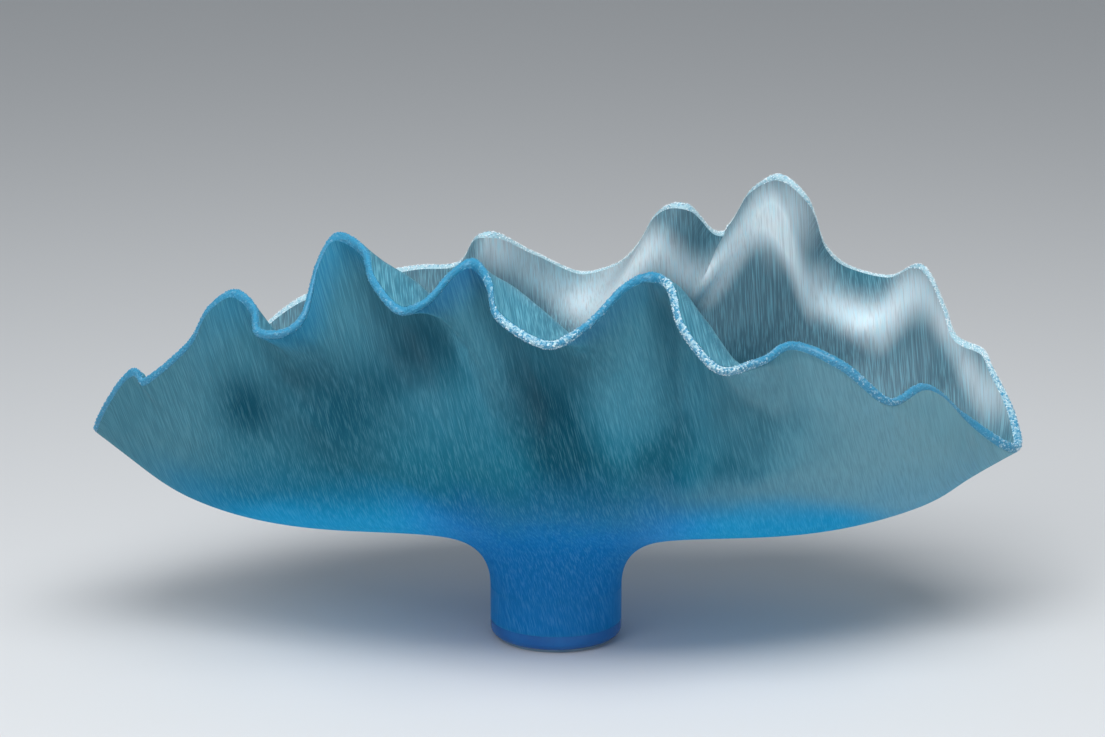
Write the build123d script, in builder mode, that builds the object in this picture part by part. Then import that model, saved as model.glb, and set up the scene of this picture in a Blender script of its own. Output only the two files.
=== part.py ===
import os
from math import cos, radians, sin
from build123d import *

# Glass wave sculpture: a ruffled bowl of fused glass threads on a short round foot.
# Millimetres. The origin is the centre of the underside. X runs along the bowl, Y to the back, Z up.

# Foot
FOOT_RADIUS = 37.5
FOOT_HEIGHT = 30.0
PAD_RADIUS = 33.0
PAD_THICKNESS = 1.5
DISC_THICKNESS = 9.0
DISC_BEVEL = 3.5
DISC_BEVEL_HEIGHT = 5.0
CASING_THICKNESS = 6.5
FLOOR_HEIGHT = 58.0

# Bowl: the level oval that the rim waves about
RIM_HALF_LENGTH = 262.0
RIM_HALF_DEPTH = 110.0
RIM_END_HEIGHT = 116.0
RIM_MIDDLE_HEIGHT = 204.0

# Wall of threads
WALL_THICKNESS = 5.0
RIM_BAND = 4.0
LIP_LENGTH = 42.0
STEM_LENGTH = 15.0
THREAD_TURN = 9.0
LIP_TURN = 16.0
RIBBONS_PER_ROW = 2
JOIN_GAP = 0.1

# Control ovals between the foot and the lip, lowest first: half length, half depth, height at the
# ends, height in the middle, drop to the right, and the share of the rim's waves that reaches down
# to this oval, outward and upward.
OVALS = [
    (52, 40, 67, 69, 1, 0.00, 0.00),
    (139, 102, 62, 92, 1, 0.15, 0.10),
    (202, 110, 71, 140, 0, 0.75, 0.40),
]

# Crests, flanks and troughs of the rim, round from the left tip along the front: angle on the oval,
# distance outward, height above the level oval, and the angle of the lip above the horizontal.
WAVES = [
    (183, 0, 7, 35),
    (203, -6, 34, 65),
    (208, -8, 26, 60),
    (218, -12, 35, 60),
    (222, -14, 50, 80),
    (226.5, -16, 54, 95),
    (230.5, -8, 41, 60),
    (233, 8, 27, 25),
    (237, 10, 22, 30),
    (239.5, -2, 29, 60),
    (240.5, -14, 54, 90),
    (242.5, -18, 65, 95),
    (246.5, -6, 53, 30),
    (248.5, 10, 37, -20),
    (252.5, 24, 20, -10),
    (255.5, 12, 23, 35),
    (258, -5, 34, 70),
    (260, -12, 37, 75),
    (262, 8, 26, -10),
    (263.5, 26, 11, -30),
    (269, 36, -2, -5),
    (273.5, 18, 7, 40),
    (278, 0, 26, 70),
    (281, -8, 31, 75),
    (282.5, 8, 26, -10),
    (283.5, 26, 8, -30),
    (287.5, 38, -8, -5),
    (293.5, 22, 1, 45),
    (298, 9, 12, 75),
    (304, 14, 8, 60),
    (311, 16, -3, 50),
    (321.5, -7, 14, 100),
    (336.5, -18, 8, 80),
    (352, 0, -4, 35),
    (366, 4, 4, 38),
    (379, 10, 17, 70),
    (384, 14, 24, 70),
    (389.5, 10, 24, 60),
    (392.5, 12, 36, 80),
    (397, 13, 52, 90),
    (404, 28, 28, 40),
    (410.5, 24, 23, 25),
    (414, 6, 37, 60),
    (415.5, -10, 65, 85),
    (419.5, -12, 72, 95),
    (423, -8, 56, 85),
    (426.5, 4, 27, 45),
    (429.5, -6, 24, 45),
    (432.5, -24, 40, 75),
    (435.5, -22, 32, 80),
    (438.5, -8, 6, 50),
    (442, 32, -17, 50),
    (447, 40, -25, 40),
    (453.5, 14, -5, 35),
    (459, -11, 14, 70),
    (462, 5, -7, 60),
    (468, 12, -5, 60),
    (474, 10, -2, 65),
    (485, 2, 2, 60),
    (495, -2, -7, 55),
    (512, -3, 3, 50),
    (528, -2, 6, 38),
]

# Rows before and after a thread whose waves are averaged, for the lip and for the lower wall.
LIP_ROWS = (-1, 0, 0, 1)
LOW_ROWS = (-3, -2, -2, -1, -1, -1, 0, 0, 0, 0, 1, 1, 1, 2, 2, 3)

UP = Vector(0, 0, 1)
CORE_RADIUS = FOOT_RADIUS - CASING_THICKNESS
DISC_TOP = PAD_THICKNESS + DISC_THICKNESS
OUTER_KNOTS = [0, 0, 0, 0, 1, 2, 3, 4, 4, 4, 4]
INNER_KNOTS = [0, 0, 0, 0, 1, 2, 3, 3, 3, 3]


def wave_row(index):
    """Row of the wave table, counted on past the left tip in either direction."""
    turns, row = divmod(index, len(WAVES))
    return (WAVES[row][0] + 360 * turns, *WAVES[row][1:])


def wave_at(index, share):
    """The rim between one row and the next, on a smooth curve through the rows on both sides."""
    rows = [wave_row(index + step) for step in (-1, 0, 1, 2)]
    wave = []
    for before, here, following, after in zip(*rows):
        bend = 2 * before - 5 * here + 4 * following - after
        twist = 3 * (here - following) + after - before
        rise = following - before
        wave.append(here + 0.5 * share * (rise + share * (bend + share * twist)))
    return wave


def wave_near(index, share, steps):
    """The waves averaged over the rows near one thread."""
    near = [wave_at(index + step, share) for step in steps]
    return [sum(values) / len(near) for values in zip(*near)]


def oval_point(angle, half_length, half_depth, end_height, middle_height, drop):
    height = end_height + (middle_height - end_height) * sin(angle) ** 2 - drop * cos(angle)
    return Vector(half_length * cos(angle), half_depth * sin(angle), height)


def outward_at(angle):
    """Level unit vector square to the rim's oval."""
    return Vector(cos(angle) / RIM_HALF_LENGTH, sin(angle) / RIM_HALF_DEPTH, 0).normalized()


def lip_direction(wave):
    lip = radians(wave[3])
    return outward_at(radians(wave[0])) * cos(lip) + UP * sin(lip)


def rim_point(wave):
    angle = radians(wave[0])
    level = oval_point(
        angle, RIM_HALF_LENGTH, RIM_HALF_DEPTH, RIM_END_HEIGHT, RIM_MIDDLE_HEIGHT, 0
    )
    return level + outward_at(angle) * wave[1] + UP * wave[2]


def thread_controls(wave, soft, calm):
    """Control points of the outer side of one thread, from the foot to the rim band."""
    low = radians(calm[0] + THREAD_TURN)
    foot = Vector(FOOT_RADIUS * cos(low), FOOT_RADIUS * sin(low), FOOT_HEIGHT)
    controls = [foot, foot + UP * STEM_LENGTH]
    for half_length, half_depth, end, middle, drop, wave_out, wave_up in OVALS:
        oval = oval_point(low, half_length, half_depth, end, middle, drop)
        controls.append(oval + outward_at(low) * calm[1] * wave_out + UP * calm[2] * wave_up)
    out = outward_at(radians(soft[0]))
    side = Vector(-out.Y, out.X, 0)
    lip_start = rim_point(soft) - lip_direction(soft) * LIP_LENGTH + side * LIP_TURN
    wall_end = rim_point(wave) - lip_direction(wave) * (RIM_BAND + JOIN_GAP)
    return [*controls, lip_start, wall_end]


def inward(before, controls, after, index):
    """Unit vector into the bowl at one control point, from the threads on both sides."""
    above = controls[min(index + 1, len(controls) - 1)]
    up_the_thread = above - controls[index - 1]
    round_the_bowl = after[index] - before[index]
    return up_the_thread.cross(round_the_bowl).normalized()


def wall_section(before, controls, after):
    """Outline of the wall along one thread: outside, rim, inside and bore."""
    inside = []
    for index in range(2, len(controls)):
        shift = inward(before, controls, after, index) * WALL_THICKNESS
        inside.append(controls[index] + shift)
    foot = controls[0]
    bore = Vector(foot.X, foot.Y, 0).normalized() * CORE_RADIUS
    floor_edge = bore + UP * FLOOR_HEIGHT
    bore_bottom = bore + UP * FOOT_HEIGHT
    with BuildLine() as section:
        BSpline(controls, OUTER_KNOTS, 3)
        Line(controls[-1], inside[-1])
        BSpline([*reversed(inside), floor_edge], INNER_KNOTS, 3)
        Line(floor_edge, bore_bottom)
        Line(bore_bottom, foot)
    return section.edges()


def band_section(before, controls, after, wave):
    """Outline of the rim band at the end of one thread."""
    across = inward(before, controls, after, len(controls) - 1) * WALL_THICKNESS
    low = controls[-1] + lip_direction(wave) * JOIN_GAP
    high = low + lip_direction(wave) * RIM_BAND
    with BuildLine() as section:
        Polyline(low, high, high + across, low + across, close=True)
    return section.edges()


def closed_ring(sections):
    """Solid ring of ruled faces between each section and the next."""
    faces = []
    for here, following in zip(sections, [*sections[1:], sections[0]]):
        for edge, next_edge in zip(here, following):
            faces.append(Face.make_surface_from_curves(edge, next_edge))
    return Solid(Shell(faces))


ribbon_waves = []
threads = []
for index in range(len(WAVES)):
    for ribbon in range(RIBBONS_PER_ROW):
        share = ribbon / RIBBONS_PER_ROW
        wave = wave_at(index, share)
        soft = wave_near(index, share, LIP_ROWS)
        calm = wave_near(index, share, LOW_ROWS)
        ribbon_waves.append(wave)
        threads.append(thread_controls(wave, soft, calm))
neighbours = list(zip([threads[-1], *threads[:-1]], threads, [*threads[1:], threads[0]]))

# Thin clear pad under the foot.
with BuildPart() as base_pad:
    Cylinder(PAD_RADIUS, PAD_THICKNESS, align=(Align.CENTER, Align.CENTER, Align.MIN))
base_pad.part.label = "base_pad"

# Plain blue disc that closes the foot, with a bevelled lower edge.
with BuildPart() as base_disc:
    with Locations((0, 0, PAD_THICKNESS)):
        Cylinder(FOOT_RADIUS, DISC_THICKNESS, align=(Align.CENTER, Align.CENTER, Align.MIN))
    underside = base_disc.faces().sort_by(Axis.Z)[0]
    chamfer(underside.edges(), DISC_BEVEL, DISC_BEVEL_HEIGHT, reference=underside)
base_disc.part.label = "base_disc"

# Clear blue sleeve round the foot.
with BuildPart() as foot_casing:
    with BuildSketch(Plane.XY.offset(DISC_TOP)):
        Circle(FOOT_RADIUS)
        Circle(CORE_RADIUS, mode=Mode.SUBTRACT)
    extrude(amount=FOOT_HEIGHT - DISC_TOP)
foot_casing.part.label = "foot_casing"

# Bundle of threads inside the foot; its top is the floor of the bowl.
with BuildPart() as thread_core:
    with BuildSketch(Plane.XY.offset(DISC_TOP)):
        Circle(CORE_RADIUS - JOIN_GAP)
    extrude(amount=FLOOR_HEIGHT - DISC_TOP)
thread_core.part.label = "thread_core"

# Ruffled wall: narrow ribbons of threads side by side, right round the bowl.
with BuildPart() as thread_wall:
    add(closed_ring([wall_section(*trio) for trio in neighbours]))
thread_wall.part.label = "thread_wall"

# Band of cut thread ends round the rim.
with BuildPart() as rim_edge:
    add(closed_ring([band_section(*trio, wave) for trio, wave in zip(neighbours, ribbon_waves)]))
rim_edge.part.label = "rim_edge"

os.makedirs("parts", exist_ok=True)
export_step(base_pad.part, "parts/base_pad.step")
export_step(base_disc.part, "parts/base_disc.step")
export_step(foot_casing.part, "parts/foot_casing.step")
export_step(thread_core.part, "parts/thread_core.step")
export_step(thread_wall.part, "parts/thread_wall.step")
export_step(rim_edge.part, "parts/rim_edge.step")
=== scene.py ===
# %% [markdown]
# # Glass wave sculpture
# A boat-shaped bowl of fused blue and teal glass threads stands on a short round foot.
# The imported CAD model is loaded first and stays as the frame. Each visible piece but the base pad
# is then made finer than its CAD solid, in the same place and in metres; the pad keeps its CAD
# mesh.

# %% Load the imported model
import math

import bpy
import mathutils
import numpy as np
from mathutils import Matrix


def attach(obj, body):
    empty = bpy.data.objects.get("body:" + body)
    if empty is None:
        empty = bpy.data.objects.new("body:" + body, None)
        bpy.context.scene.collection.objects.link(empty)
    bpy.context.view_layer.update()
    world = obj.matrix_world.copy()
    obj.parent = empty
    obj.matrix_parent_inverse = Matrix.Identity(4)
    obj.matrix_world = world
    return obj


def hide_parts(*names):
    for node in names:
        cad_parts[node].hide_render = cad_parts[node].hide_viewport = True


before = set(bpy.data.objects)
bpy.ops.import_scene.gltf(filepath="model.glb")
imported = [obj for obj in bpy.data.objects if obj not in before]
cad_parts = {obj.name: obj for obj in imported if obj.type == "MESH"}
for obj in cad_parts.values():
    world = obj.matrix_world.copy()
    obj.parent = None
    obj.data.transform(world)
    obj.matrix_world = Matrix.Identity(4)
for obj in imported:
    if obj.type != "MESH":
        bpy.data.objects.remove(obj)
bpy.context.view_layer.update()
print("CAD nodes:", sorted(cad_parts))

# %% [markdown]
# ## The sizes of the form
# The wall follows one rule: each thread leaves the foot, runs out over three ovals and ends in a
# lip at the rim. Only the rim's crests, flanks and troughs are listed. The sizes are those of the
# CAD model in millimetres, and are turned into metres when a mesh is made.

# %% Sizes in millimetres
MM = 0.001
FOOT_RADIUS = 37.5
CORE_RADIUS = 31.0
FOOT_HEIGHT = 30.0
FLOOR_HEIGHT = 58.0
DISC_TOP = 10.5
PAD_THICKNESS = 1.5
RIM_HALF_LENGTH = 262.0
RIM_HALF_DEPTH = 110.0
RIM_END_HEIGHT = 116.0
RIM_MIDDLE_HEIGHT = 204.0
WALL_THICKNESS = 5.0
RIM_BAND = 4.0
LIP_LENGTH = 42.0
STEM_LENGTH = 15.0
THREAD_TURN = math.radians(9.0)
LIP_TURN = 16.0

# Half length, half depth, end height, middle height, drop to the right, and the shares of the
# rim's waves outward and up.
OVALS = [
    (52, 40, 67, 69, 1, 0.00, 0.00),
    (139, 102, 62, 92, 1, 0.15, 0.10),
    (202, 110, 71, 140, 0, 0.75, 0.40),
]

# Angle on the oval, distance outward, height above the level oval, lip angle.
WAVES = np.array([
    (183, 0, 7, 35), (203, -6, 34, 65), (208, -8, 26, 60), (218, -12, 35, 60), (222, -14, 50, 80),
    (226.5, -16, 54, 95), (230.5, -8, 41, 60), (233, 8, 27, 25), (237, 10, 22, 30),
    (239.5, -2, 29, 60), (240.5, -14, 54, 90), (242.5, -18, 65, 95), (246.5, -6, 53, 30),
    (248.5, 10, 37, -20), (252.5, 24, 20, -10), (255.5, 12, 23, 35), (258, -5, 34, 70),
    (260, -12, 37, 75), (262, 8, 26, -10), (263.5, 26, 11, -30), (269, 36, -2, -5),
    (273.5, 18, 7, 40), (278, 0, 26, 70), (281, -8, 31, 75), (282.5, 8, 26, -10),
    (283.5, 26, 8, -30), (287.5, 38, -8, -5), (293.5, 22, 1, 45), (298, 9, 12, 75),
    (304, 14, 8, 60), (311, 16, -3, 50), (321.5, -7, 14, 100), (336.5, -18, 8, 80),
    (352, 0, -4, 35), (366, 4, 4, 38), (379, 10, 17, 70), (384, 14, 24, 70), (389.5, 10, 24, 60),
    (392.5, 12, 36, 80), (397, 13, 52, 90), (404, 28, 28, 40), (410.5, 24, 23, 25),
    (414, 6, 37, 60), (415.5, -10, 65, 85), (419.5, -12, 72, 95), (423, -8, 56, 85),
    (426.5, 4, 27, 45), (429.5, -6, 24, 45), (432.5, -24, 40, 75), (435.5, -22, 32, 80),
    (438.5, -8, 6, 50), (442, 32, -17, 50), (447, 40, -25, 40), (453.5, 14, -5, 35),
    (459, -11, 14, 70), (462, 5, -7, 60), (468, 12, -5, 60), (474, 10, -2, 65), (485, 2, 2, 60),
    (495, -2, -7, 55), (512, -3, 3, 50), (528, -2, 6, 38),
], dtype=float)
print("crests, flanks and troughs round the rim:", len(WAVES))

# %% [markdown]
# ## The rule of the threads
# A curve through so many waves is hard to push about by hand, so the place of every point is
# worked out. `rim_wave` reads the list above on a smooth curve. `wave_near` averages it, because
# the ruffles fade low on the wall. `thread_controls` gives the seven control points of a thread,
# and `smooth_run` reads a point from the smooth curve that they steer.

# %% Waves of the rim
UP = np.array([0.0, 0.0, 1.0])
LIP_ROWS = (-1, 0, 0, 1)
LOW_ROWS = (-3, -2, -2, -1, -1, -1, 0, 0, 0, 0, 1, 1, 1, 2, 2, 3)


def unit(vectors):
    return vectors / np.linalg.norm(vectors, axis=-1, keepdims=True)


def wave_rows(row):
    """Rows of the list, counted on past the left tip in either direction."""
    turns, index = np.divmod(row, len(WAVES))
    rows = WAVES[index].copy()
    rows[:, 0] += 360 * turns
    return rows


def rim_wave(around):
    """Angle, distance outward, height and lip angle on a smooth curve through the rows."""
    row = np.floor(around * len(WAVES) + 1e-9).astype(int)
    share = (around * len(WAVES) - row)[:, None]
    before, here, following, after = [wave_rows(row + step) for step in (-1, 0, 1, 2)]
    bend = 2 * before - 5 * here + 4 * following - after
    twist = 3 * (here - following) + after - before
    return here + 0.5 * share * (following - before + share * (bend + share * twist))


def wave_near(around, steps):
    """The waves averaged over the rows near each thread."""
    return sum(rim_wave(around + step / len(WAVES)) for step in steps) / len(steps)


# %% Control points of a thread


def oval_point(angle, half_length, half_depth, end_height, middle_height, drop):
    rise = (middle_height - end_height) * np.sin(angle) ** 2 - drop * np.cos(angle)
    return np.stack(
        [half_length * np.cos(angle), half_depth * np.sin(angle), end_height + rise], axis=-1
    )


def outward_at(angle):
    flat = [np.cos(angle) / RIM_HALF_LENGTH, np.sin(angle) / RIM_HALF_DEPTH, 0 * angle]
    return unit(np.stack(flat, axis=-1))


def rim_point(wave):
    angle = np.radians(wave[:, 0])
    level = oval_point(angle, RIM_HALF_LENGTH, RIM_HALF_DEPTH, RIM_END_HEIGHT, RIM_MIDDLE_HEIGHT, 0)
    return level + outward_at(angle) * wave[:, 1:2] + UP * wave[:, 2:3]


def lip_direction(wave):
    lip = np.radians(wave[:, 3:])
    return outward_at(np.radians(wave[:, 0])) * np.cos(lip) + UP * np.sin(lip)


def thread_controls(around):
    """Control points of threads from the foot to the rim, and the way that each lip points."""
    wave, soft, calm = rim_wave(around), wave_near(around, LIP_ROWS), wave_near(around, LOW_ROWS)
    low = np.radians(calm[:, 0]) + THREAD_TURN
    round_foot = np.stack([np.cos(low), np.sin(low), 0 * low], axis=-1)
    foot = round_foot * FOOT_RADIUS + UP * FOOT_HEIGHT
    controls = [foot, foot + UP * STEM_LENGTH]
    for half_length, half_depth, end, middle, drop, wave_out, wave_up in OVALS:
        oval = oval_point(low, half_length, half_depth, end, middle, drop)
        ruffle = outward_at(low) * calm[:, 1:2] * wave_out + UP * calm[:, 2:3] * wave_up
        controls.append(oval + ruffle)
    out = outward_at(np.radians(soft[:, 0]))
    side = np.stack([-out[:, 1], out[:, 0], 0 * low], axis=-1)
    controls.append(rim_point(soft) - lip_direction(soft) * LIP_LENGTH + side * LIP_TURN)
    controls.append(rim_point(wave) - lip_direction(wave) * RIM_BAND)
    return np.stack(controls, axis=1), lip_direction(wave)


def smooth_run(controls, share):
    """Point at a share of the way along the smooth curve of each row of control points."""
    spans = controls.shape[1] - 3
    knots = np.concatenate([[0] * 3, np.arange(spans + 1), [spans] * 3]).astype(float)
    place = np.clip(share, 0, 1 - 1e-9) * spans
    weights = [(place >= low) & (place < high) for low, high in zip(knots[:-1], knots[1:])]
    weights = [weight.astype(float) for weight in weights]
    for degree in (1, 2, 3):
        raised = []
        for index in range(len(weights) - 1):
            value = 0 * place
            span = knots[index + degree] - knots[index]
            if span > 0:
                value = value + (place - knots[index]) / span * weights[index]
            span = knots[index + degree + 1] - knots[index + 1]
            if span > 0:
                value = value + (knots[index + degree + 1] - place) / span * weights[index + 1]
            raised.append(value)
        weights = raised
    return sum(weight[:, None] * controls[:, index] for index, weight in enumerate(weights))


def inward(around, index):
    """Unit vectors into the bowl at one control point, from the threads on both sides."""
    step = 0.5 / len(WAVES)
    before, after = thread_controls(around - step)[0], thread_controls(around + step)[0]
    controls = thread_controls(around)[0]
    above = controls[:, min(index + 1, controls.shape[1] - 1)]
    return unit(np.cross(above - controls[:, index - 1], after[:, index] - before[:, index]))


sample_around = np.linspace(0, 1, 1240, endpoint=False)
sample = thread_controls(sample_around)[0]
print("rim heights in mm:", sample[:, -1, 2].min().round(), "to", sample[:, -1, 2].max().round())

# %% [markdown]
# ## Wrapping a sheet
# A grid primitive is a flat sheet of even squares. Wrapped round the bowl like cloth round a
# bottle, its columns become threads. The edges that meet are merged, so the seam is closed. Each
# point also keeps records for the finish. `strand` runs straight up the long sides with a slight
# slant, as the fine lines of the glass do. `thread` follows the columns, and is used at the two
# ends of the bowl, where the skin turns away: `end` says how much. `inside` tells the two sides of
# the wall apart.

# %% Sheet helpers
THREAD_LENGTH = 260.0
FRONT_SLANT = 0.26
BACK_SLANT = 0.06
SLANT_CHANGE = 30.0
STRAND_DEPTH = 0.03
END_FROM, END_SPAN = 0.7, 0.25
upper_line = sample[:, 4] * 0.6 + sample[:, 6] * 0.4
steps = np.linalg.norm(np.roll(upper_line, -1, 0) - upper_line, axis=1)
upper_length = steps.sum()
measured = np.concatenate([[0], np.cumsum(steps)]) / upper_length
THREAD_RADIUS = upper_length / (2 * math.pi)
print("length round the upper wall in mm:", round(upper_length))


def deselect_all():
    if bpy.context.object and bpy.context.object.mode != "OBJECT":
        bpy.ops.object.mode_set(mode="OBJECT")
    bpy.ops.object.select_all(action="DESELECT")


def thread_place(around, along):
    """Where a point lies among the threads: a circle as long as the upper wall, and a height."""
    turn = 2 * math.pi * np.interp(around, np.linspace(0, 1, len(measured)), measured)
    return np.stack([THREAD_RADIUS * np.cos(turn), THREAD_RADIUS * np.sin(turn), along], axis=-1)


def keep_record(piece, name, kind, values):
    record = piece.data.attributes.new(name, kind, "POINT")
    key = "vector" if kind == "FLOAT_VECTOR" else "value"
    record.data.foreach_set(key, np.ascontiguousarray(values, dtype=np.float32).ravel())


def skin_normals(piece):
    normals = np.empty(len(piece.data.vertices) * 3, dtype=np.float32)
    piece.data.vertices.foreach_get("normal", normals)
    return normals.reshape(-1, 3)


def strand_place(points, heights):
    """Where a point lies among the strands: along the bowl, with the slant taken out, and up."""
    x, y, z = points.T
    slant = FRONT_SLANT + (BACK_SLANT - FRONT_SLANT) * (0.5 + 0.5 * np.tanh(y / SLANT_CHANGE))
    return np.stack([x + slant * z, STRAND_DEPTH * y, heights], axis=-1)


def wrapped_sheet(name, columns, rows, place):
    """Grid wrapped round the bowl. place(around, along) gives points, thread heights and sides."""
    deselect_all()
    bpy.ops.mesh.primitive_grid_add(x_subdivisions=columns, y_subdivisions=rows, size=1)
    sheet = bpy.context.object
    sheet.name = name
    corners = np.empty(len(sheet.data.vertices) * 3, dtype=np.float32)
    sheet.data.vertices.foreach_get("co", corners)
    around = np.round((corners[0::3] + 0.5) * columns) / columns % 1.0
    along = np.round((corners[1::3] + 0.5) * rows) / rows
    points, heights, sides = place(around, along)
    sheet.data.vertices.foreach_set("co", (points * MM).astype(np.float32).ravel())
    keep_record(sheet, "thread", "FLOAT_VECTOR", thread_place(around, heights) * MM)
    keep_record(sheet, "strand", "FLOAT_VECTOR", strand_place(points, heights) * MM)
    keep_record(sheet, "inside", "FLOAT", sides)
    bpy.ops.object.mode_set(mode="EDIT")
    bpy.ops.mesh.select_all(action="SELECT")
    bpy.ops.mesh.remove_doubles(threshold=1e-6)
    bpy.ops.mesh.normals_make_consistent(inside=False)
    bpy.ops.object.mode_set(mode="OBJECT")
    bpy.ops.object.shade_smooth_by_angle(angle=math.radians(50))
    sideways = np.abs(skin_normals(sheet)[:, 0])
    keep_record(sheet, "end", "FLOAT", np.clip((sideways - END_FROM) / END_SPAN, 0, 1))
    print(name, "has", len(sheet.data.polygons), "faces")
    return sheet


# %% [markdown]
# ## Thread wall
# The wall is a closed skin: up the outside, over the top, down the inside to the floor of the
# bowl, and back through the bore where the foot's core sits. A sheet with a Solidify modifier
# would give an even wall, but the real one is thick at the foot and thin at the rim, so the sheet
# is wrapped right round the section. Among the ruffles, the inside lies square to the outside.

# %% Thread wall
SECTION_ROWS = (64, 2, 52, 2, 1)
WALL_COLUMNS = 13 * len(WAVES)
RUFFLES_FROM, RUFFLES_SPAN = 0.55, 0.2


def skin_inward(around, climb):
    """Unit vectors into the bowl, square to the outside, at a share of the way up each thread."""
    step, rise = 0.25 / len(WAVES), 0.02
    before = smooth_run(thread_controls(around - step)[0], climb)
    after = smooth_run(thread_controls(around + step)[0], climb)
    controls = thread_controls(around)[0]
    lower = smooth_run(controls, np.clip(climb - rise, 0, 1))
    upper = smooth_run(controls, np.clip(climb + rise, 0, 1))
    return unit(np.cross(upper - lower, after - before))


def wall_place(around, along):
    """Outside, top, inside, bore and seat in turn, each one stage long."""
    rows = np.cumsum((0,) + SECTION_ROWS)
    stage = np.interp(along * rows[-1], rows, range(len(rows)))
    controls = thread_controls(around)[0]
    foot = controls[:, 0]
    bore = unit(foot * [1, 1, 0]) * CORE_RADIUS
    inside = [controls[:, k] + inward(around, k) * WALL_THICKNESS for k in range(2, 7)]
    inner = np.stack([bore + UP * FLOOR_HEIGHT, *inside], axis=1)
    outer_part = smooth_run(controls, np.clip(stage, 0, 1))
    top_part = controls[:, -1] + (inside[-1] - controls[:, -1]) * (stage - 1)[:, None]
    climb = np.where(stage < 1.5, np.clip(stage, 0, 1), np.clip(3 - stage, 0, 1))
    inner_part = smooth_run(inner, climb)
    ruffled = smooth_run(controls, climb) + skin_inward(around, climb) * WALL_THICKNESS
    share = np.clip((climb - RUFFLES_FROM) / RUFFLES_SPAN, 0, 1)[:, None]
    inner_part = inner_part + (ruffled - inner_part) * share
    bore_part = bore + UP * (FLOOR_HEIGHT + (FOOT_HEIGHT - FLOOR_HEIGHT) * (stage - 3))[:, None]
    seat_part = bore + UP * FOOT_HEIGHT
    seat_part = seat_part + (foot - seat_part) * (stage - 4)[:, None]
    parts = [outer_part, top_part, inner_part, bore_part, seat_part]
    which = np.clip(np.floor(stage).astype(int), 0, 4)
    points = np.choose(which[:, None], parts)
    sides = np.clip(stage - 1, 0, 1) * np.clip(4 - stage, 0, 1)
    return points, THREAD_LENGTH * climb, sides


wall = wrapped_sheet("wall_of_threads", WALL_COLUMNS, sum(SECTION_ROWS), wall_place)
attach(wall, "root")
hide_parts("thread_wall")

# %% [markdown]
# The light gathers in the underside of the belly, which glows azure in the real glass; here the
# azure and its glow are painted from how far each point of the skin faces down, kept as the record
# `under` and read from the mesh's own normals. A lip that lies flat is painted darker inside, a
# painted shade, so the record `flat` keeps where that is.

# %% Records of the underside and of the flat lips
STEEP_LIP, FLAT_LIP = 70, 10


def lip_flatness(around):
    """1 where the lip lies flat, and 0 where it stands up."""
    return np.clip((STEEP_LIP - rim_wave(around)[:, 3]) / (STEEP_LIP - FLAT_LIP), 0, 1)


def keep_flatness(piece):
    """The record `flat` on a wrapped sheet, from where each point lies among the threads."""
    places = np.empty(len(piece.data.vertices) * 3, dtype=np.float32)
    piece.data.attributes["thread"].data.foreach_get("vector", places)
    turn = np.arctan2(places[1::3], places[0::3]) / (2 * math.pi) % 1.0
    around = np.interp(turn, measured, np.linspace(0, 1, len(measured))) % 1.0
    keep_record(piece, "flat", "FLOAT", lip_flatness(around))


facing_down = np.clip(-skin_normals(wall)[:, 2], 0, 1)
keep_record(wall, "under", "FLOAT", facing_down)
keep_flatness(wall)
print("points that face down:", int((facing_down > 0.5).sum()))

# %% [markdown]
# ## Rim edge
# The threads end in a rounded, grainy band. The band is a second wrapped sheet with a half-round
# section. The grains are small beads: one bead is made, and its copies sit along the band, so the
# sparkle has a real shape and isn't only painted. Where the lip lies flat, the band and the beads
# are painted whiter, a painted highlight for cut ends that catch more light, so they keep the
# record `flat` too.

# %% Rim band
BAND_ROWS = 14
BAND_HALF = 2.25
BAND_REACH = 3.6
BAND_ROOT = 0.6


def band_place(around, along):
    controls, lip_way = thread_controls(around)
    across = inward(around, 6)
    middle = controls[:, -1] + across * (WALL_THICKNESS / 2)
    turn = 2 * math.pi * along
    reach = np.where(np.cos(turn) > 0, BAND_REACH, BAND_ROOT)
    points = middle + across * (-np.sin(turn) * BAND_HALF)[:, None]
    points = points + lip_way * (np.cos(turn) * reach)[:, None]
    return points, THREAD_LENGTH + 0 * along, 0.5 - 0.5 * np.sin(turn)


band = wrapped_sheet("rim_band", WALL_COLUMNS, BAND_ROWS, band_place)
keep_flatness(band)

# %% Beads along the rim
BEADS = 9500
BEAD_RADIUS = 0.4

deselect_all()
bpy.ops.mesh.primitive_ico_sphere_add(subdivisions=1, radius=BEAD_RADIUS * MM)
bead = bpy.context.object
bead_points = np.array([vertex.co[:] for vertex in bead.data.vertices])
bead_faces = np.array([face.vertices[:] for face in bead.data.polygons])
bpy.data.objects.remove(bead)

chance = np.random.default_rng(7)
bead_around = (np.arange(BEADS) + chance.uniform(-0.5, 0.5, BEADS)) / BEADS % 1.0
bead_around = np.interp(bead_around, measured, np.linspace(0, 1, len(measured))) % 1.0
bead_along = chance.uniform(-0.25, 0.25, BEADS) % 1.0
bead_size = chance.uniform(0.6, 1.2, BEADS)
seats = band_place(bead_around, bead_along)[0] * MM
grains = (seats[:, None] + bead_points[None] * bead_size[:, None, None]).reshape(-1, 3)
corners = bead_faces[None] + (np.arange(BEADS) * len(bead_points))[:, None, None]
grain_mesh = bpy.data.meshes.new("rim_beads")
grain_mesh.from_pydata(grains.tolist(), [], corners.reshape(-1, 3).tolist())
beads = bpy.data.objects.new("rim_beads", grain_mesh)
bpy.context.collection.objects.link(beads)
deselect_all()
beads.select_set(True)
bpy.context.view_layer.objects.active = beads
bpy.ops.object.shade_smooth()
keep_record(beads, "flat", "FLOAT", np.repeat(lip_flatness(bead_around), len(bead_points)))
print("beads on the rim:", BEADS, "with", len(grain_mesh.polygons), "faces")

for piece in (band, beads):
    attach(piece, "root")
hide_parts("rim_edge")

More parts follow.
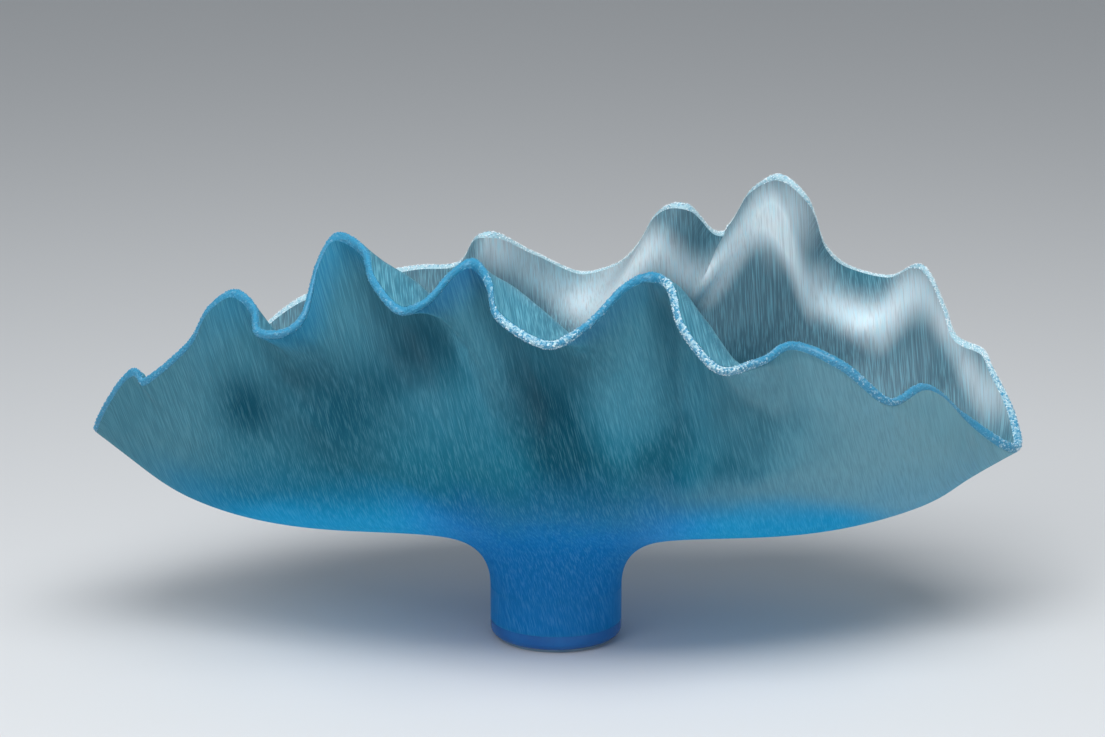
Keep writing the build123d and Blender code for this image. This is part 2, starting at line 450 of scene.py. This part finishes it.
# %% [markdown]
# ## Foot
# The clear sleeve carries the threads of the wall down to the base disc, and the core gathers them
# in the floor of the bowl. Both are wrapped sheets, so their streaks meet those of the wall. The
# disc starts as a cylinder, and a bevel rounds its lower edge as on the polished foot.

# %% Foot casing
CASING_ROWS = (12, 1, 4, 1)
CASING_COLUMNS = 5 * len(WAVES)


def round_place(around, along, rows, radii, levels):
    """Turned section round the foot, in straight runs between the given radii and heights."""
    ends = np.cumsum((0,) + rows)
    stage = np.interp(along * ends[-1], ends, range(len(ends)))
    way = unit(thread_controls(around)[0][:, 0] * [1, 1, 0])
    radius = np.interp(stage, range(len(ends)), radii)
    height = np.interp(stage, range(len(ends)), levels)
    return way * radius[:, None] + UP * height[:, None], radius, height


def casing_place(around, along):
    radii = [FOOT_RADIUS, FOOT_RADIUS, CORE_RADIUS, CORE_RADIUS, FOOT_RADIUS]
    levels = [DISC_TOP, FOOT_HEIGHT, FOOT_HEIGHT, DISC_TOP, DISC_TOP]
    points, _, height = round_place(around, along, CASING_ROWS, radii, levels)
    return points, height - FOOT_HEIGHT, 0 * along


casing = wrapped_sheet("foot_sleeve", CASING_COLUMNS, sum(CASING_ROWS), casing_place)
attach(casing, "root")
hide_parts("foot_casing")

# %% Thread core
CORE_ROWS = (10, 4, 2)
CORE_GAP = 0.1
FLOOR_DISH = 2.5


def core_place(around, along):
    rim = CORE_RADIUS - CORE_GAP
    radii = [0, rim, rim, 0]
    levels = [FLOOR_HEIGHT, FLOOR_HEIGHT, DISC_TOP, DISC_TOP]
    points, radius, height = round_place(around, along, CORE_ROWS, radii, levels)
    dish = FLOOR_DISH * (1 - (radius / rim) ** 2) * (height > FLOOR_HEIGHT - 0.01)
    return points - UP * dish[:, None], radius - rim, 1 + 0 * along


core = wrapped_sheet("bowl_floor", CASING_COLUMNS, sum(CORE_ROWS), core_place)
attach(core, "root")
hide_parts("thread_core")

# %% Base disc
DISC_ROUNDING = 4.5

deselect_all()
bpy.ops.mesh.primitive_cylinder_add(
    vertices=160,
    radius=FOOT_RADIUS * MM,
    depth=(DISC_TOP - PAD_THICKNESS) * MM,
    location=(0, 0, (DISC_TOP + PAD_THICKNESS) / 2 * MM),
)
disc = bpy.context.object
disc.name = "foot_disc"
bpy.ops.object.transform_apply(location=True, rotation=True, scale=True)
bpy.ops.object.mode_set(mode="EDIT")
bpy.ops.mesh.select_all(action="DESELECT")
bpy.ops.object.mode_set(mode="OBJECT")
for edge in disc.data.edges:
    ends = [disc.data.vertices[index].co.z for index in edge.vertices]
    edge.select = max(ends) < (PAD_THICKNESS + 0.1) * MM
bpy.ops.object.mode_set(mode="EDIT")
bpy.ops.mesh.select_mode(type="EDGE")
bpy.ops.mesh.bevel(offset=DISC_ROUNDING * MM, segments=6, affect="EDGES")
bpy.ops.object.mode_set(mode="OBJECT")
bpy.ops.object.shade_smooth_by_angle(angle=math.radians(40))
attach(disc, "root")
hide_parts("base_disc")
print("base disc faces:", len(disc.data.polygons))

# %% [markdown]
# ## Writing shader maths
# Long chains of Math nodes are easier to read as sums. `Value` wraps a socket and turns Python
# operators into Math nodes. `Finish` holds one material, and its `add` method makes any other node.

# %% Shader helpers


class Value:
    """A socket that takes part in sums."""

    def __init__(self, finish, socket):
        self.finish = finish
        self.socket = socket

    def maths(self, operation, first, second):
        return self.finish.add("ShaderNodeMath", {"operation": operation}, {0: first, 1: second})

    def __add__(self, other):
        return self.maths("ADD", self, other)

    def __radd__(self, other):
        return self.maths("ADD", other, self)

    def __sub__(self, other):
        return self.maths("SUBTRACT", self, other)

    def __rsub__(self, other):
        return self.maths("SUBTRACT", other, self)

    def __mul__(self, other):
        return self.maths("MULTIPLY", self, other)

    def __rmul__(self, other):
        return self.maths("MULTIPLY", other, self)


class Finish:
    """One material, its nodes and its links."""

    def __init__(self, name):
        self.material = bpy.data.materials.new(name)
        self.material.use_nodes = True
        self.tree = self.material.node_tree
        self.tree.nodes.clear()

    def add(self, kind, settings=None, sockets=None, output=0):
        node = self.tree.nodes.new(kind)
        for key, value in (settings or {}).items():
            setattr(node, key, value)
        for key, value in (sockets or {}).items():
            if isinstance(value, Value):
                self.tree.links.new(value.socket, node.inputs[key])
            else:
                node.inputs[key].default_value = value
        return Value(self, node.outputs[output]) if len(node.outputs) else node

    def record(self, name, output=2):
        """A record that the mesh keeps: output 1 for a vector, 2 for a number."""
        return self.add("ShaderNodeAttribute", {"attribute_name": name}, output=output)

    def part(self, vector, index):
        """One coordinate of a vector."""
        return self.add("ShaderNodeSeparateXYZ", None, {0: vector}, output=index)

    def step(self, value, low, high):
        """0 below low and 1 above high, smooth between."""
        limits = {"Value": value, "From Min": low, "From Max": high}
        return self.add("ShaderNodeMapRange", {"interpolation_type": "SMOOTHSTEP"}, limits)

    def blend(self, factor, first, second):
        """Mix of two colours."""
        sockets = {0: factor, 6: first, 7: second}
        return self.add("ShaderNodeMix", {"data_type": "RGBA"}, sockets, output=2)

    def surface(self, sockets):
        shader = self.add("ShaderNodeBsdfPrincipled", None, sockets)
        self.add("ShaderNodeOutputMaterial", None, {"Surface": shader})
        return self.material


def tint(red, green, blue):
    """A colour as it is seen on a screen, 0 to 255, for a shader socket."""
    def linear(part):
        part = part / 255
        return part / 12.92 if part <= 0.04045 else ((part + 0.055) / 1.055) ** 2.4
    return (linear(red), linear(green), linear(blue), 1.0)


print("shader helpers ready")

# %% [markdown]
# ## Finish of the threads
# The colour comes from how much glass the light crosses: cobalt in the thick foot, teal in the thin
# wall, paler towards the right end, and slate inside. Light and shade are painted on as well:
# shadow patches on the front, a paler teal near the rim partly for light coming through, azure on
# the underside, a painted sheen low on the right, shade under the flat lips inside, and painted
# silver highlights where the far wall bends. The glass also carries light, so the underside, the
# foot and the inside get a painted glow.
# Fine streaks run along the threads. A picture could be laid on the wall, but noise that is
# stretched along the threads has no seam and stays sharp from near by. The same streaks raise the
# surface a little, and the anisotropic gloss spreads a gleam across them, as on silk.

# %% Thread glass
COBALT = tint(4, 112, 178)
AZURE = tint(0, 132, 180)
SHADOW_TEAL = tint(0, 78, 100)
TEAL = tint(16, 110, 136)
PALE_TEAL = tint(84, 142, 160)
PALE_AND_HIGHLIGHT = tint(132, 178, 192)
LIP_BLUE = tint(62, 120, 140)
LIP_SHADE_TEAL = tint(34, 98, 116)
SLATE = tint(40, 84, 100)
HIGHLIGHT_SILVER = tint(240, 247, 250)
HAIR = tint(140, 204, 222)
GAP = tint(8, 54, 76)
INSIDE_GLOW = tint(44, 96, 116)
BLACK = tint(0, 0, 0)

# Painted shadows on the front, soft dark patches for the folds of the far wall: centre and half
# sizes.
SHADOWS = [
    ((-0.168, -0.06, 0.150), (0.028, 0.08, 0.030)),
    ((-0.115, -0.10, 0.152), (0.052, 0.12, 0.052)),
    ((0.004, -0.11, 0.150), (0.028, 0.12, 0.060)),
]
# The line along which the far wall bends, where a highlight is painted inside: x and height.
HIGHLIGHT_BEND = [
    (-0.040, 0.206), (0.020, 0.171), (0.058, 0.207), (0.088, 0.189), (0.124, 0.228),
    (0.150, 0.183), (0.189, 0.165), (0.212, 0.184), (0.250, 0.132),
]
HIGHLIGHT_REACH = 0.024
# Painted highlights on the highest crest and on one lip at the front: centre and half sizes.
CREST_HIGHLIGHT = ((0.134, 0.08, 0.226), (0.028, 0.12, 0.040))
LIP_HIGHLIGHT = ((-0.019, -0.09, 0.196), (0.016, 0.05, 0.030))


def streaks(finish, place, across, along, offset):
    """Noise that is fine across the threads and long along them."""
    mapping = {"Vector": place, "Scale": (across, across, along), "Location": (offset, 0, 0)}
    placed = finish.add("ShaderNodeMapping", None, mapping)
    return finish.add("ShaderNodeTexNoise", None, {"Vector": placed, "Scale": 1.0, "Detail": 2.0})


def thread_grain(finish, height):
    """Fine lines: straight up the long sides, and along the columns at the ends and the foot."""
    strand, thread = finish.record("strand", 1), finish.record("thread", 1)
    end = finish.record("end")
    sides = streaks(finish, strand, 1900, 150, 0) * 0.75
    sides = sides + streaks(finish, strand, 800, 90, 5) * 0.25
    thin = finish.step(height, 0.055, 0.105)
    ends = streaks(finish, thread, 1900, 130, 7) * thin
    ends = ends + streaks(finish, thread, 480, 110, 3) * (1 - thin)
    return sides * (1 - end) + ends * end


def soft_spot(finish, place, centre, size):
    """1 at the centre of an ellipsoid, and 0 at its skin."""
    spot = {0: place, "Location": centre, "Scale": size}
    placed = finish.add("ShaderNodeMapping", {"vector_type": "TEXTURE"}, spot)
    away = finish.add("ShaderNodeVectorMath", {"operation": "LENGTH"}, {0: placed}, output=1)
    return finish.step(away, 1.0, 0.0)


def painted_highlight_band(finish, x, height):
    """1 on the line where the far wall bends, where a highlight is painted, and 0 a little above
    and below it.
    """
    away = height - HIGHLIGHT_BEND[0][1]
    for (start, old), (end, new) in zip(HIGHLIGHT_BEND, HIGHLIGHT_BEND[1:]):
        away = away - finish.step(x, start, end) * (new - old)
    distance = finish.add("ShaderNodeMath", {"operation": "ABSOLUTE"}, {0: away})
    return finish.step(distance, HIGHLIGHT_REACH, 0.0) * finish.step(x, -0.05, -0.03)


def thread_glass(name, polish):
    finish = Finish(name)
    place = finish.add("ShaderNodeTexCoord", output=3)
    inside = finish.record("inside")
    under = finish.record("under")
    x, height = finish.part(place, 0), finish.part(place, 2)
    length = finish.add("ShaderNodeMath", {"operation": "ABSOLUTE"}, {0: x})
    thread = finish.record("thread", 1)
    climb = finish.part(thread, 2)
    back = finish.step(finish.part(place, 1), -0.07, 0.03)
    cloud = streaks(finish, thread, 13, 14, 9)
    grain = thread_grain(finish, height)

    # Outside: teal with painted shadow patches, cobalt low down, azure along the rim, and azure
    # underneath as painted light.
    # Paler near the rim, where the glass is thin, partly painted light that comes through it, and
    # paler at the left tip.
    thin_and_lit = finish.step(climb + cloud * 0.08, 0.20, 0.30) * 0.7 + finish.step(x, -0.17, -0.22) * 0.5
    teal = finish.blend(thin_and_lit, TEAL, PALE_TEAL)
    teal = finish.blend(finish.step(x, 0.06, 0.20) * 0.6, teal, PALE_AND_HIGHLIGHT)
    # Painted shadows: dark patches from noise and the listed ones; the wall is also darker towards
    # the left.
    painted_shade = finish.step(cloud, 0.58, 0.38) * finish.step(length, 0.18, 0.08) * 0.5
    painted_shade = painted_shade + finish.step(x, -0.02, -0.15) * 0.25
    for centre, size in SHADOWS:
        painted_shade = painted_shade + soft_spot(finish, place, centre, size) * 0.8
    teal = finish.blend(painted_shade, teal, SHADOW_TEAL)
    level = height + length * 0.04 + cloud * 0.03 - 0.015
    blue = finish.blend(finish.step(length, 0.045, 0.10), COBALT, AZURE)
    low = finish.step(level, 0.135, 0.062)
    belly = finish.step(under * finish.step(climb, 0.22, 0.17) + cloud * 0.2, 0.35, 0.90)
    belly = belly * finish.step(length, 0.03, 0.08) * finish.step(length, 0.21, 0.15)
    edge = finish.step(climb, 0.246, 0.262) * finish.step(x, 0.10, -0.05)
    edge = edge * finish.step(x, -0.21, -0.15) * 0.5
    outer = finish.blend(low + edge, teal, blue)
    # A painted sheen on the underside at the right, where the belly curves into the light.
    painted_sheen = finish.step(under, 0.02, 0.30) * finish.step(x, 0.02, 0.12) * 0.35
    outer = finish.blend(painted_sheen, outer, PALE_AND_HIGHLIGHT)
    outer = finish.blend(belly, outer, blue)

    # Inside: slate with a painted highlight band at the back, painted shade under flat lips, and
    # blue lips at the front with one painted highlight.
    # Painted highlights: a band along the bend of the far wall and a patch on the highest crest.
    highlight = finish.step(climb + cloud * 0.06, 0.195, 0.25) * 0.1
    highlight = highlight + painted_highlight_band(finish, x, height) * (0.72 - finish.step(x, 0.19, 0.24) * 0.3)
    highlight = highlight + soft_spot(finish, place, *CREST_HIGHLIGHT) * 0.6
    back_with_highlight = finish.blend(highlight, SLATE, HIGHLIGHT_SILVER)
    # Painted shade inside, near the rim where the lip lies flat.
    shade = finish.record("flat") * finish.step(climb, 0.235, 0.258)
    back_with_highlight = finish.blend(shade, back_with_highlight, LIP_SHADE_TEAL)
    # A painted highlight on one lip at the front.
    lip = finish.blend(soft_spot(finish, place, *LIP_HIGHLIGHT), LIP_BLUE, PALE_AND_HIGHLIGHT)
    inner = finish.blend(back, lip, back_with_highlight)
    base = finish.blend(inside, outer, inner)

    # Light and dark threads over both, and a painted glow in the underside, the foot and the inside
    # for the light that the glass carries.
    light = finish.blend(finish.step(grain, 0.44, 0.70) * (0.16 + inside * 0.25), base, HAIR)
    colour = finish.blend(finish.step(grain, 0.56, 0.30) * (0.16 + inside * 0.14), light, GAP)
    painted_glow = finish.blend(inside, finish.blend(belly * 0.7 + low * 0.3, BLACK, blue), INSIDE_GLOW)
    bump = {"Strength": 0.3, "Distance": 0.0003, "Height": grain}
    normal = finish.add("ShaderNodeBump", None, bump)
    return finish.surface({
        "Base Color": colour,
        "Metallic": inside * (0.05 + back * 0.1),
        "Roughness": polish + grain * 0.1 - inside * 0.1,
        "IOR": 1.5,
        "Specular IOR Level": 0.1,
        "Anisotropic": 0.7,
        "Subsurface Weight": 0.5,
        "Subsurface Radius": (0.35, 0.85, 1.0),
        "Subsurface Scale": 0.008,
        "Emission Color": painted_glow,
        "Emission Strength": 0.3,
        "Normal": normal,
    })


for piece, polish in ((wall, 0.54), (casing, 0.30), (core, 0.42)):
    piece.data.materials.clear()
    piece.data.materials.append(thread_glass(piece.name + "_glass", polish))
print("thread glass on the wall, the sleeve and the floor")

# %% [markdown]
# ## Finish of the rim, the disc and the pad
# Cut thread ends scatter light, so the rim is azure with white grains at the front. At the back,
# and at the flat troughs away from the left end, it is painted white as painted highlights. The
# disc is plain cobalt with a polished skin, and the pad is clear.

# %% Rim, foot and pad glass


def grain_glass(name, azure, white):
    finish = Finish(name)
    place = finish.add("ShaderNodeTexCoord", output=3)
    flat = finish.record("flat")
    back = finish.step(finish.part(place, 1), -0.01, 0.06)
    cells = finish.add("ShaderNodeTexVoronoi", None, {"Vector": place, "Scale": 900.0}, output=1)
    speck = finish.add("ShaderNodeSeparateColor", None, {0: cells})
    trough_highlight_side = finish.step(finish.part(place, 0), -0.05, -0.015)
    # Whiter at the back and at the flat troughs: painted highlights. The specks are the grain of
    # the cut ends.
    share = speck * 0.6 + flat * trough_highlight_side * 0.4 + back * 0.7
    colour = finish.blend(finish.step(share, 0.45, 0.95), azure, white)
    return finish.surface({"Base Color": colour, "Roughness": 0.3 + speck * 0.2, "IOR": 1.5})


def plain_glass(name, colour, deep, roughness):
    finish = Finish(name)
    place = finish.add("ShaderNodeTexCoord", output=3)
    cloud = finish.add("ShaderNodeTexNoise", None, {"Vector": place, "Scale": 60.0, "Detail": 3.0})
    shade = finish.blend(finish.step(cloud, 0.3, 0.7), colour, deep)
    return finish.surface({"Base Color": shade, "Roughness": roughness + cloud * 0.1, "IOR": 1.5})


band.data.materials.append(grain_glass("rim_band_glass", tint(50, 138, 176), tint(165, 202, 214)))
beads.data.materials.append(grain_glass("rim_bead_glass", tint(66, 152, 188), tint(228, 240, 245)))
disc.data.materials.append(plain_glass("disc_glass", tint(4, 92, 164), tint(8, 106, 178), 0.18))
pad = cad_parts["base_pad"]
pad.data.materials.clear()
pad.data.materials.append(plain_glass("pad_glass", tint(150, 180, 200), tint(120, 160, 190), 0.2))
print("materials:", len(bpy.data.materials))

# %% [markdown]
# ## Stage, light and camera
# A wide pale floor fills the picture. Two large soft lamps light the piece, one from the left and
# one from above. The upper one stands a little in front, so that it reaches the inside of the far
# wall. A long card in front only shows in the gloss, and draws bands of light on the glass, over
# the highlights painted on the far wall. A stronger lamp could do both, but it would wash the
# colours out. The camera looks a little down at the long side of the bowl.

# %% Floor
deselect_all()
bpy.ops.mesh.primitive_plane_add(size=14, location=(0, 0, 0))
floor = bpy.context.object
floor.name = "studio_floor"
paper = Finish("floor_paper")
floor.data.materials.append(paper.surface({"Base Color": tint(214, 216, 218), "Roughness": 0.8}))

# %% Lamps


def aim(thing, place, target):
    way = mathutils.Vector(target) - mathutils.Vector(place)
    thing.location = place
    thing.rotation_euler = way.to_track_quat("-Z", "Y").to_euler()


def soft_lamp(name, place, target, width, depth, power):
    lamp = bpy.data.lights.new(name, "AREA")
    lamp.shape = "RECTANGLE"
    lamp.size, lamp.size_y, lamp.energy = width, depth, power
    lamp_object = bpy.data.objects.new(name, lamp)
    bpy.context.collection.objects.link(lamp_object)
    aim(lamp_object, place, target)
    return lamp_object


soft_lamp("key_box", (-1.1, -1.3, 1.7), (0, 0, 0.12), 1.1, 1.1, 14)
top = soft_lamp("top_box", (0.1, -0.7, 1.65), (0, 0, 0.1), 1.4, 0.9, 26)
top.visible_glossy = False
card = soft_lamp("gleam_card", (0.3, -1.9, 1.0), (0, 0.05, 0.15), 2.2, 0.9, 34)
card.visible_diffuse = False
world = bpy.data.worlds.new("studio_air")
world.use_nodes = True
world.node_tree.nodes["Background"].inputs[0].default_value = (0.9, 0.95, 1.0, 1)
world.node_tree.nodes["Background"].inputs[1].default_value = 0.35
bpy.context.scene.world = world

# %% Camera
ELEVATION = math.radians(14)
DISTANCE = 1.7
TARGET = np.array([-0.002, 0.0, 0.1567])
FOCAL_SHARE = 3026 / 1105

lens = bpy.data.cameras.new("photo_camera")
lens.sensor_width = 36
lens.lens = 36 * FOCAL_SHARE
lens.clip_start = 0.05
camera = bpy.data.objects.new("photo_camera", lens)
bpy.context.collection.objects.link(camera)
stand = TARGET + DISTANCE * np.array([0, -math.cos(ELEVATION), math.sin(ELEVATION)])
aim(camera, stand.tolist(), TARGET.tolist())
bpy.context.scene.camera = camera
bpy.context.scene.view_settings.view_transform = "Standard"
print("camera at", stand.round(3))
